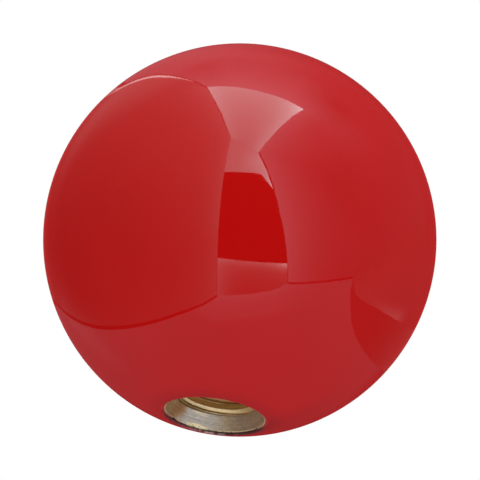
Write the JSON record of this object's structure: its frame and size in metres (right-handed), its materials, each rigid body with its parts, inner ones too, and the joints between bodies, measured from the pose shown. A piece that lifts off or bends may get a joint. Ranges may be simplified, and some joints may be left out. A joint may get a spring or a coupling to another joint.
{
  "type": "ball knob",
  "caption": "Glossy red plastic ball knob with a moulded-in brass insert, whose blind, countersunk and threaded hole takes the end of a lever.",
  "frame": {"origin": "centre of the flat ring round the mouth, on which the knob stands", "axes": "+Z along the hole's axis, from the mouth to the top of the ball; the knob is round, so +X and +Y are free"},
  "size_m": [0.05, 0.05, 0.0491],
  "materials": {
    "red_plastic": "polished",
    "brass": "turned, dulled with age"
  },
  "bodies": {
    "root": {"ball": "red_plastic", "threaded_insert": "brass"}
  },
  "joints": []
}
